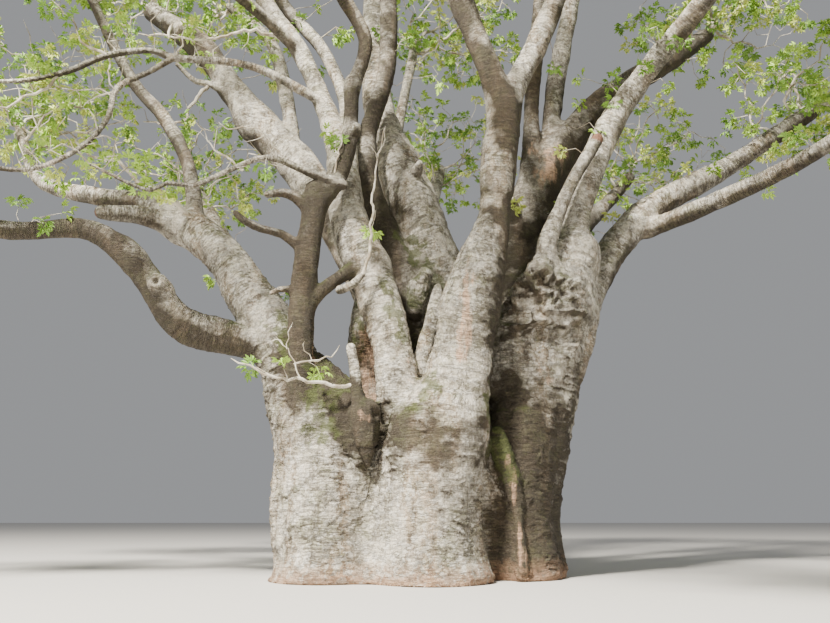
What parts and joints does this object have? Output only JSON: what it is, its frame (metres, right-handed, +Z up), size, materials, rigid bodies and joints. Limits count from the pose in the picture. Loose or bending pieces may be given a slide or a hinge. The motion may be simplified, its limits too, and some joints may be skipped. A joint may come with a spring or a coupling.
{
  "type": "baobab tree",
  "caption": "Very old baobab: a massive trunk of fused lobes parting low into thick leaning stems, under a wide open crown of sparse leaf masses.",
  "frame": {"origin": "middle of the flat cut under the trunk, at ground level", "axes": "+Z up, +X along the crown's widest spread, to the right in the picture, and -Y towards its viewer"},
  "size_m": [27.192, 25.4907, 21.0628],
  "materials": {
    "bark": "rough wrinkled pale grey bark with tan patches, lichen and moss",
    "leaves": "thin fresh yellow-green leaves in open sprays"
  },
  "bodies": {
    "root": {"bough_back": "bark", "bough_back_left": "bark", "bough_back_right": "bark", "bough_far_left": "bark", "bough_far_left_top": "bark", "bough_far_right": "bark", "bough_left_high": "bark", "bough_low_inner": "bark", "bough_low_outer": "bark", "bough_pale": "bark", "bough_right": "bark", "bough_right_low": "bark", "branch_back_top": "bark", "branch_crooked": "bark", "branch_drooping": "bark", "branch_far_left": "bark", "branch_forward_middle": "bark", "branch_forward_right": "bark", "branch_left_rising": "bark", "branch_near_left": "bark", "branch_pale": "bark", "branch_right_near": "bark", "branch_thin": "bark", "leaves_back": "leaves", "leaves_back_left": "leaves", "leaves_back_right": "leaves", "leaves_back_top": "leaves", "leaves_far_left": "leaves", "leaves_left": "leaves", "leaves_left_upper": "leaves", "leaves_low_left": "leaves", "leaves_low_right": "leaves", "leaves_near": "leaves", "leaves_near_left": "leaves", "leaves_near_low": "leaves", "leaves_near_right": "leaves", "leaves_right": "leaves", "leaves_right_near": "leaves", "leaves_right_upper": "leaves", "leaves_top": "leaves", "leaves_top_near": "leaves", "leaves_upper_left": "leaves", "leaves_upper_right": "leaves", "limb_bent_lower": "bark", "limb_bent_upper": "bark", "limb_sawn": "bark", "stem_back": "bark", "stem_dark": "bark", "stem_front": "bark", "stem_front_left": "bark", "stem_front_right": "bark", "stem_grey": "bark", "stem_left": "bark", "stem_pale": "bark", "stem_right": "bark", "stem_shaded": "bark", "stem_tan": "bark", "stub_left": "bark", "stub_near": "bark", "trunk": "bark"}
  },
  "joints": []
}
